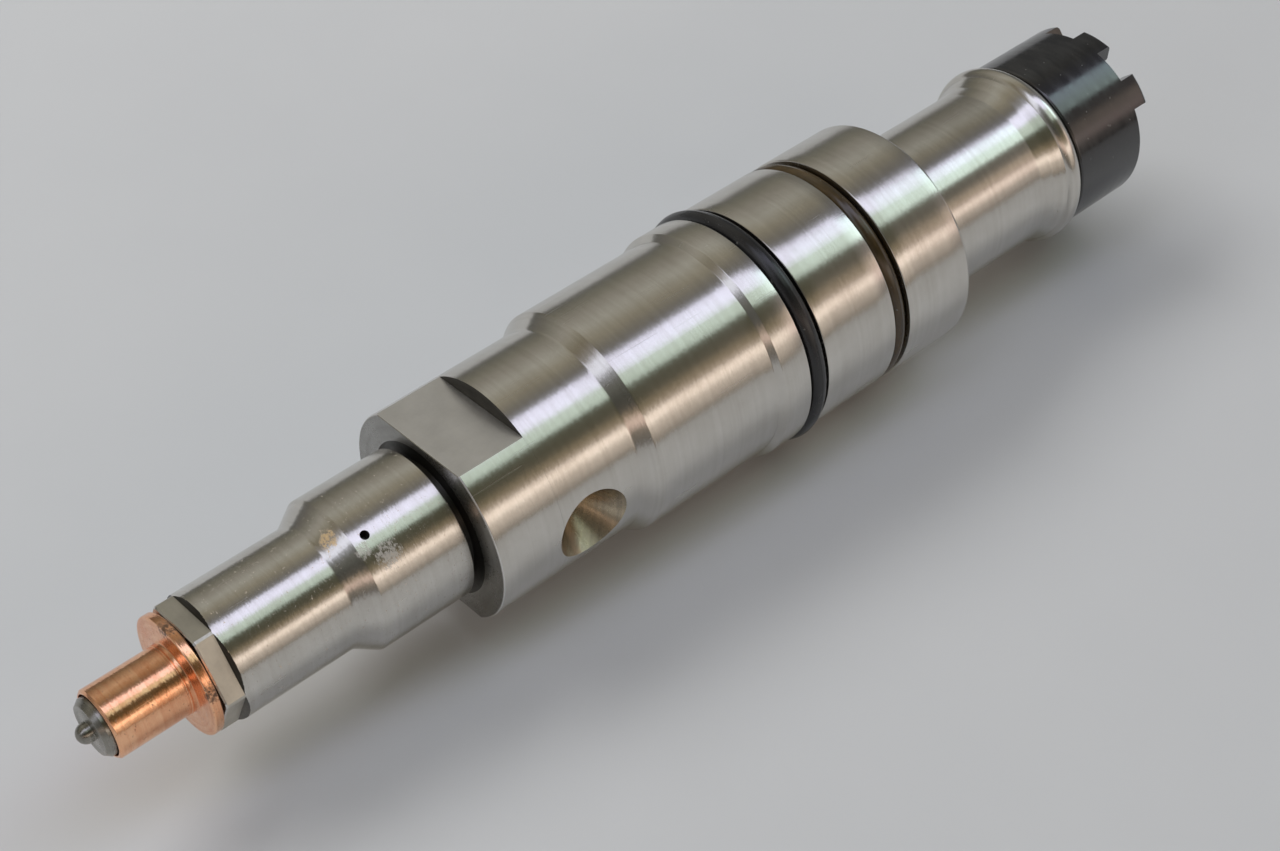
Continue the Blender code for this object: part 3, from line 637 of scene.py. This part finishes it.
def make_nut():
    start, end, skirt = span("nozzle_retaining_nut")
    nose = NUT_NOSE_RADIUS
    hex_end = start + NUT_HEX_LENGTH
    runout_end = hex_end + NUT_HEX_RUNOUT
    face_half = NUT_HEX_CORNER * math.cos(math.radians(30.0))
    edge = math.degrees(math.acos(face_half / nose))
    bore = SHANK_RADIUS + CLEARANCE
    inside = 8.0

    def shape(station, angle, radius):
        if station > runout_end + 0.001 or radius < bore + 1.0:
            return radius
        lead = max(0.0, 0.15 - (station - start))
        climb = max(0.0, station - hex_end) / NUT_HEX_RUNOUT * (NUT_HEX_CORNER - face_half)
        reach = (face_half - lead + climb) / math.cos(math.radians(from_face_middle(angle)))
        return min(radius, reach)

    corners = []
    for side in range(6):
        middle = NUT_HEX_CLOCK + 30.0 + 60.0 * side
        corners += [middle - edge, middle + edge, middle - edge - 0.2, middle + edge + 0.2]
    outline = rounded([
        *[(hex_end + NUT_HEX_RUNOUT * step / 8.0, nose) for step in range(9)],
        (NUT_CONE_START, nose, 1.2),
        (NUT_CONE_END, skirt, 0.15),
        (end, skirt, 0.25),
        (end, NUT_THREAD_BORE, 0.15),
        (NUT_CONE_END, NUT_THREAD_BORE),
        (NUT_CONE_END, NUT_HEAD_BORE),
        (NUT_HEAD_FLOOR, NUT_HEAD_BORE),
        (NUT_HEAD_FLOOR, bore),
        (start, bore),
        (start, nose - 0.25),
        (start + 0.25, nose),
    ])
    nut = lathe("nut_shell", outline, nut_steel, FACETS, shape, corners)
    for polygon in nut.data.polygons:
        middle = polygon.center / MM
        reach = math.hypot(middle.y, middle.z)
        if start + 0.2 < middle.x < hex_end - 0.01 and reach > inside:
            polygon.material_index = FLAT_SLOT
        # Painted shade in the run-out groove between the hexagon and the nose.
        if hex_end - 0.01 < middle.x < runout_end and inside < reach < nose - 0.02:
            polygon.material_index = PAINTED_SHADE_SLOT
    nut.data.materials.append(hex_steel)
    nut.data.materials.append(painted_shade_steel)
    near = clock_point(VENT_CLOCK, inside, VENT_STATION)
    far = clock_point(VENT_CLOCK, skirt + 2.0, VENT_STATION)
    radius = VENT_RADIUS * MM
    # The vent hole's walls take the painted shade too.
    vent = cone_cutter("vent_cutter", near, far, radius, radius, 48, PAINTED_SHADE_SLOT)
    cut(nut, [vent], on_barrel(skirt, NUT_CONE_END + 0.3, end - 0.3))
    place_piece(nut, "nozzle_retaining_nut")


def inlet_cutters():
    """The inlet's cone and the drilling at its root."""
    slope = (INLET_MOUTH_RADIUS - INLET_BORE_RADIUS) / INLET_DEPTH
    beyond = 3.0
    deep = clock_point(INLET_CLOCK, FRONT_RADIUS - INLET_DEPTH, INLET_STATION)
    outer = clock_point(INLET_CLOCK, FRONT_RADIUS + beyond, INLET_STATION)
    root = clock_point(INLET_CLOCK, INLET_ROOT_RADIUS, INLET_STATION)
    bore = INLET_BORE_RADIUS * MM
    mouth = (INLET_MOUTH_RADIUS + slope * beyond) * MM
    overlap = (outer - deep) * 0.02
    # The cone's walls take the painted shade of the inlet.
    cone = cone_cutter("inlet_cutter", deep, outer, bore, mouth, 96, SHADED_SEAT_SLOT)
    drilling = cone_cutter("drilling_cutter", root, deep + overlap, bore, bore, 48)
    return [cone, drilling]


def make_body():
    first, last, rear = span("injector_body")
    front = BODY_FRONT
    flat_end = front + FLAT_LENGTH
    counterbore = first + 1.7
    flat_inside = 12.6
    face_edge = FRONT_RECESS_RADIUS - 0.02

    def shape(station, angle, radius):
        if not front - 0.001 < station < flat_end + 0.001 or radius < flat_inside:
            return radius
        lead = max(0.0, 0.12 - (station - front))
        for clock in (FLAT_CLOCK, FLAT_CLOCK + 180.0):
            turn = math.cos(math.radians(angle - clock))
            if turn > 0.5:
                radius = min(radius, (FLAT_HALF - lead) / turn)
        return radius

    half = math.degrees(math.acos(FLAT_HALF / FRONT_RADIUS))
    edges = []
    for clock in (FLAT_CLOCK, FLAT_CLOCK + 180.0):
        for side in (-half, half):
            edges += [clock + side - 0.3, clock + side, clock + side + 0.3]

    def groove(start, end, floor):
        return [(start, rear, 0.2), (start, floor, 0.2), (end, floor, 0.2), (end, rear, 0.2)]

    outline = rounded([
        (front + RECESS_DEPTH, SPIGOT_RADIUS, 0.1),
        (front + RECESS_DEPTH, FRONT_RECESS_RADIUS),
        (front, FRONT_RECESS_RADIUS),
        (front, FRONT_RADIUS, 0.3),
        (flat_end, FRONT_RADIUS),
        (flat_end + 0.02, FRONT_RADIUS),
        (CONE_START, FRONT_RADIUS, 1.0),
        (CONE_END, MIDDLE_RADIUS, 0.4),
        (MIDDLE_END, MIDDLE_RADIUS, 0.2),
        (REAR_START, rear, 0.2),
        *groove(*LOWER_GROOVE),
        *groove(*UPPER_GROOVE),
        (REAR_SHOULDER - 1.0, rear, 0.25),
        (REAR_SHOULDER, rear - 1.0, 0.2),
        (REAR_SHOULDER, REAR_RECESS_RADIUS),
        (REAR_SHOULDER - RECESS_DEPTH, REAR_RECESS_RADIUS),
        (REAR_SHOULDER - RECESS_DEPTH, BOSS_RADIUS),
        (last, BOSS_RADIUS, 0.2),
        (last, POCKET_RADIUS),
        (POCKET_FLOOR, POCKET_RADIUS),
        (POCKET_FLOOR, BORE_RADIUS),
        (SPRING_CHAMBER_END, BORE_RADIUS),
        (SPRING_CHAMBER_END, SPRING_CHAMBER_RADIUS),
        (counterbore, SPRING_CHAMBER_RADIUS),
        (counterbore, BORE_RADIUS),
        (first, BORE_RADIUS),
        (first, SPIGOT_RADIUS, 0.3),
    ])
    body = lathe("body_shell", outline, steel, FACETS, shape, edges)
    for material in (flat_steel, painted_shade_steel, seat_shade_steel, face_shade_steel):
        body.data.materials.append(material)
    for polygon in body.data.polygons:
        place = polygon.center / MM
        reach = math.hypot(place.y, place.z)
        if front + 0.1 < place.x < flat_end - 0.01 and flat_inside < reach < FRONT_RADIUS - 0.02:
            polygon.material_index = FLAT_SLOT
        # Painted shade on the recessed front face round the spigot.
        if place.x < front + RECESS_DEPTH + 0.05 and reach < face_edge:
            polygon.material_index = PAINTED_SHADE_SLOT
        # Painted shade on the outer front face of the body.
        if place.x < front + 0.02 and reach > face_edge:
            polygon.material_index = SHADED_FACE_SLOT
        # Painted shade on the step wall behind each flat.
        if abs(place.x - flat_end - 0.01) < 0.01 and reach > flat_inside + 0.4:
            polygon.material_index = PAINTED_SHADE_SLOT
    cut(body, inlet_cutters(), on_barrel(FRONT_RADIUS, flat_end + 0.05, CONE_START - 0.7))
    place_piece(body, "injector_body")


def make_ring(name, node, section, material):
    """A moulded O-ring with its fine parting line."""
    start, end, outer = span(node)
    centre = ((start + end) / 2.0, outer - section)
    flash = 0.035
    outline = []
    for step in range(48):
        angle = 7.5 * step
        at_seam = min(abs(angle - 90.0), abs(angle - 270.0)) < 4.0
        reach = section if at_seam else section - flash
        outline.append((centre[0] + reach * math.cos(math.radians(angle)),
                        centre[1] + reach * math.sin(math.radians(angle))))
    ring = lathe(name, outline, material)
    place_piece(ring, node)


def make_housing():
    start, end, bead = span("solenoid_housing")
    tube = HOUSING_RADIUS
    outline = rounded([
        (start, HOUSING_BORE),
        (start, tube, 0.3),
        (end - 7.8, tube, 3.0),
        (end - 5.4, tube + 0.25, 2.0),
        *arc((end - BEAD_SECTION, bead - BEAD_SECTION), BEAD_SECTION, 150.0, 0.0, 14),
        (end, LIP_RADIUS, 0.1),
        (end - LIP_THICKNESS, LIP_RADIUS, 0.1),
        (end - LIP_THICKNESS, HOUSING_BORE),
    ])
    housing = lathe("housing_shell", outline, steel)
    place_piece(housing, "solenoid_housing")


def rim_cutter(end, outer):
    """A disc that trims the cap down to its rim, with notches that spare the prongs."""
    reach = (outer + 2.0) * MM
    disc = cone_cutter("rim_cutter", Vector((RIM_END, 0.0, 0.0)) * MM,
                       Vector((end + 2.0, 0.0, 0.0)) * MM, reach, reach, 90)
    notches = []
    for clock in PRONG_CLOCKS:
        form = bmesh.new()
        bmesh.ops.create_cube(form, size=1.0)
        bmesh.ops.scale(form, vec=Vector((12.0, PRONG_WIDTH, 10.0)) * MM, verts=form.verts)
        notch = cutter_object("prong_notch", form)
        notch.rotation_euler.x = math.radians(clock)
        notch.location = clock_point(clock, outer + 1.0, RIM_END + 2.0)
        notches.append(notch)
    bpy.context.view_layer.update()
    cut(disc, notches)
    return disc


def make_cap():
    start, end, outer = span("connector_cap")
    groove_start, groove_end, groove_floor = PLUG_GROOVE
    pad_height = 0.6
    rim_floor = RIM_END - 0.2
    outline = rounded([
        (start, 0.0),
        (start, PLUG_RADIUS, 0.2),
        (groove_start, PLUG_RADIUS, 0.1),
        (groove_start, groove_floor, 0.1),
        (groove_end, groove_floor, 0.1),
        (groove_end, PLUG_RADIUS, 0.1),
        (NECK_START, PLUG_RADIUS, 0.1),
        (NECK_START, NECK_RADIUS, 0.1),
        (CAP_START, NECK_RADIUS, 0.1),
        (CAP_START, outer, 0.35),
        (end, outer, 0.7),
        (end, PRONG_INNER_RADIUS, 0.4),
        (rim_floor, PRONG_INNER_RADIUS),
        (rim_floor, SOCKET_RADIUS, 0.2),
        (SOCKET_FLOOR, SOCKET_RADIUS, 0.4),
        (SOCKET_FLOOR, SOCKET_PAD_RADIUS, 0.1),
        (SOCKET_FLOOR + pad_height, SOCKET_PAD_RADIUS - 0.2, 0.1),
        (SOCKET_FLOOR + pad_height, 0.0),
    ])
    cap = lathe("cap_shell", outline, black_plastic)
    cut(cap, [rim_cutter(end, outer)], on_barrel(outer, CAP_START + 0.4, end - 0.8))
    place_piece(cap, "connector_cap")


def make_terminal(node, clock):
    """A round contact with a domed tip."""
    start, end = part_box(node)[0][0] / MM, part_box(node)[1][0] / MM
    outline = rounded([
        (start, 0.0),
        (start, TERMINAL_WIRE_RADIUS),
        (TERMINAL_STEP - 0.4, TERMINAL_WIRE_RADIUS),
        (TERMINAL_STEP, TERMINAL_RADIUS, 0.05),
        (end - 1.0, TERMINAL_RADIUS, 0.3),
        (end, TERMINAL_RADIUS - 0.6, 0.2),
        (end, 0.0),
    ])
    pin = lathe("contact_" + node[-1], outline, terminal_metal, 48)
    pin.location = clock_point(clock, TERMINAL_OFFSET, 0.0)
    place_piece(pin, node)


def dress_inner_nodes():
    """Better materials for the CAD nodes that stay."""
    dress = {
        "needle_spring": spring_steel,
        "armature_spring": spring_steel,
        "coil_winding": winding_metal,
        "coil_bobbin": bobbin_plastic,
        "housing_seal_ring": black_rubber,
        "cap_seal_ring": black_rubber,
    }
    replaced = {"nozzle_body", "copper_seal_sleeve", "nozzle_retaining_nut", "injector_body",
                "o_ring_lower", "o_ring_upper", "solenoid_housing", "connector_cap",
                "terminal_pin_a", "terminal_pin_b"}
    for node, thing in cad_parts.items():
        if node in replaced:
            continue
        for material_slot in thing.material_slots:
            material_slot.material = dress.get(node, inner_steel)


make_nozzle()
make_copper_sleeve()
make_nut()
make_body()
make_ring("lower_ring", "o_ring_lower", LOWER_RING_SECTION, black_rubber)
make_ring("upper_ring", "o_ring_upper", UPPER_RING_SECTION, brown_rubber)
make_housing()
make_cap()
make_terminal("terminal_pin_a", 90.0)
make_terminal("terminal_pin_b", 270.0)
dress_inner_nodes()


# ---------------------------------------------------------------- floor, light and camera

# The studio. A panel stop is (degrees from straight up towards -Y, red, green, blue). Each
# blend is a pair of X parts of the viewing direction between which one look turns into another.
BRIGHTEST = 2.6
FAR_BLEND = (-0.30, 0.0)
END_BLEND = (0.632, 0.645)
POLE_BLEND = (0.80, 0.97)
POLE_TINT = colour(0.12, 0.12, 0.12)
BACKDROP = colour(0.30, 0.305, 0.31)
LAMP_PLACE = (-0.25, 0.75, 0.95)
LAMP_AIM = (0.08, 0.0, 0.0)
LAMP_SIZE = (0.9, 0.5)
LAMP_POWER = 7.0
FLOOR_GAP = 0.0001
FLOOR_REACH = 3.0

MAIN_PANELS = [
    (-90.0, 0.12, 0.12, 0.11),
    (-72.0, 0.22, 0.21, 0.17),
    (-56.0, 0.34, 0.32, 0.28),
    (-40.0, 0.46, 0.45, 0.40),
    (-24.0, 0.34, 0.31, 0.24),
    (-8.0, 0.18, 0.17, 0.15),
    (-3.0, 0.25, 0.25, 0.26),
    (1.0, 1.28, 1.29, 1.62),
    (14.0, 1.28, 1.29, 1.62),
    (19.0, 0.75, 0.88, 0.78),
    (29.0, 0.70, 0.83, 0.74),
    (33.0, 0.09, 0.088, 0.055),
    (47.0, 0.09, 0.085, 0.055),
    (55.0, 0.26, 0.21, 0.13),
    (61.0, 0.50, 0.41, 0.32),
    (65.0, 1.45, 1.25, 1.10),
    (70.0, 1.45, 1.25, 1.10),
    (75.0, 0.80, 0.70, 0.60),
    (82.0, 0.60, 0.52, 0.45),
    (90.0, 0.25, 0.22, 0.18),
]
FAR_PANELS = [
    (-90.0, 0.12, 0.12, 0.12),
    (-76.0, 0.18, 0.17, 0.15),
    (-64.0, 0.26, 0.25, 0.21),
    (-50.0, 0.41, 0.39, 0.35),
    (-42.0, 0.38, 0.36, 0.30),
    (-29.0, 0.22, 0.19, 0.13),
    (-14.0, 0.34, 0.32, 0.31),
    (-8.0, 1.20, 1.24, 1.45),
    (5.0, 1.20, 1.24, 1.45),
    (11.0, 0.31, 0.32, 0.34),
    (22.0, 0.15, 0.15, 0.13),
    (38.0, 0.07, 0.07, 0.06),
    (50.0, 0.09, 0.085, 0.07),
    (57.0, 0.34, 0.26, 0.18),
    (63.0, 0.95, 0.74, 0.62),
    (68.0, 0.95, 0.72, 0.62),
    (75.0, 0.23, 0.20, 0.16),
    (90.0, 0.14, 0.13, 0.12),
]
END_PANELS = [
    (-90.0, 0.10, 0.10, 0.10),
    (-42.0, 0.17, 0.17, 0.16),
    (-25.0, 0.12, 0.12, 0.11),
    (0.0, 0.20, 0.20, 0.24),
    (4.0, 1.60, 2.05, 2.20),
    (28.0, 1.70, 2.10, 2.00),
    (32.0, 0.30, 0.27, 0.26),
    (44.0, 0.34, 0.30, 0.28),
    (54.0, 0.95, 0.78, 0.66),
    (71.0, 0.95, 0.72, 0.66),
    (80.0, 0.30, 0.26, 0.24),
    (90.0, 0.12, 0.11, 0.11),
]


def make_floor():
    material, tree, shader, place = start_material("pale_floor")
    cloud = noise(tree, place, 14.0, 3.0)
    tone = blend_colours(tree, cloud, colour(0.60, 0.61, 0.62), colour(0.66, 0.665, 0.67))
    tree.links.new(tone, shader.inputs["Base Color"])
    shader.inputs["Roughness"].default_value = 0.6
    mesh = bpy.data.meshes.new("floor")
    form = bmesh.new()
    bmesh.ops.create_grid(form, x_segments=1, y_segments=1, size=FLOOR_REACH)
    form.to_mesh(mesh)
    form.free()
    mesh.materials.append(material)
    floor = bpy.data.objects.new("floor", mesh)
    floor.location.z = cad_box[0][2] - FLOOR_GAP
    bpy.context.scene.collection.objects.link(floor)


def sky_ramp(tree, share, stops):
    """A colour ramp over a list of panel stops."""
    ramp = shader_node(tree, "ValToRGB", {"Fac": share})
    elements = ramp.color_ramp.elements
    while len(elements) < len(stops):
        elements.new(0.5)
    for element, (degrees, *tint) in zip(elements, stops):
        element.position = (degrees + 90.0) / 180.0
        element.color = colour(*(part / BRIGHTEST for part in tint))
    return ramp.outputs["Color"]


def make_world():
    """A dim studio whose long soft panels run along X. Directions that lean to -X see the
    far panels, those within about 50 degrees of +X see the end panels, and both ends fade
    to plain grey."""
    world = bpy.data.worlds.new("studio")
    bpy.context.scene.world = world
    world.use_nodes = True
    tree = world.node_tree
    background = tree.nodes["Background"]
    direction = shader_node(tree, "TexCoord").outputs["Generated"]
    parts = shader_node(tree, "SeparateXYZ", {0: direction})
    towards = math_node(tree, "MULTIPLY", parts.outputs["Y"], -1.0)
    angle = math_node(tree, "ARCTAN2", towards, parts.outputs["Z"])
    share = remap(tree, angle, -math.pi / 2.0, math.pi / 2.0, 0.0, 1.0)
    main = sky_ramp(tree, share, MAIN_PANELS)
    far = sky_ramp(tree, share, FAR_PANELS)
    end = sky_ramp(tree, share, END_PANELS)
    side = remap(tree, parts.outputs["X"], *FAR_BLEND, 0.0, 1.0)
    seen = blend_colours(tree, side, far, main)
    towards_end = remap(tree, parts.outputs["X"], *END_BLEND, 0.0, 1.0)
    seen = blend_colours(tree, towards_end, seen, end)
    end_on = math_node(tree, "ABSOLUTE", parts.outputs["X"])
    pole = remap(tree, end_on, *POLE_BLEND, 0.0, 1.0)
    seen = blend_colours(tree, pole, seen, POLE_TINT)
    is_camera = shader_node(tree, "LightPath").outputs["Is Camera Ray"]
    tree.links.new(blend_colours(tree, is_camera, seen, BACKDROP), background.inputs["Color"])
    background.inputs["Strength"].default_value = BRIGHTEST


def make_light():
    """One large soft lamp over the far side, for the shadow on the near side."""
    light = bpy.data.lights.new("soft_lamp", "AREA")
    light.shape = "RECTANGLE"
    light.size, light.size_y = LAMP_SIZE
    light.energy = LAMP_POWER
    lamp = bpy.data.objects.new("soft_lamp", light)
    lamp.location = LAMP_PLACE
    aim = Vector(LAMP_AIM) - lamp.location
    lamp.rotation_euler = aim.to_track_quat("-Z", "Y").to_euler()
    lamp.visible_glossy = False
    bpy.context.scene.collection.objects.link(lamp)


def make_camera():
    data = bpy.data.cameras.new("camera")
    data.sensor_width = 36.0
    data.lens = CAMERA_LENS
    data.clip_start = 0.01
    data.clip_end = 20.0
    camera = bpy.data.objects.new("camera", data)
    level = math.cos(CAMERA_ELEVATION)
    forward = Vector((-math.sin(CAMERA_AZIMUTH) * level, math.cos(CAMERA_AZIMUTH) * level,
                      -math.sin(CAMERA_ELEVATION)))
    camera.rotation_euler = forward.to_track_quat("-Z", "Y").to_euler()
    camera.location = CAMERA_PLACE
    bpy.context.scene.collection.objects.link(camera)
    bpy.context.scene.camera = camera


make_floor()
make_world()
make_light()
make_camera()
bpy.context.scene.view_settings.view_transform = "Standard"
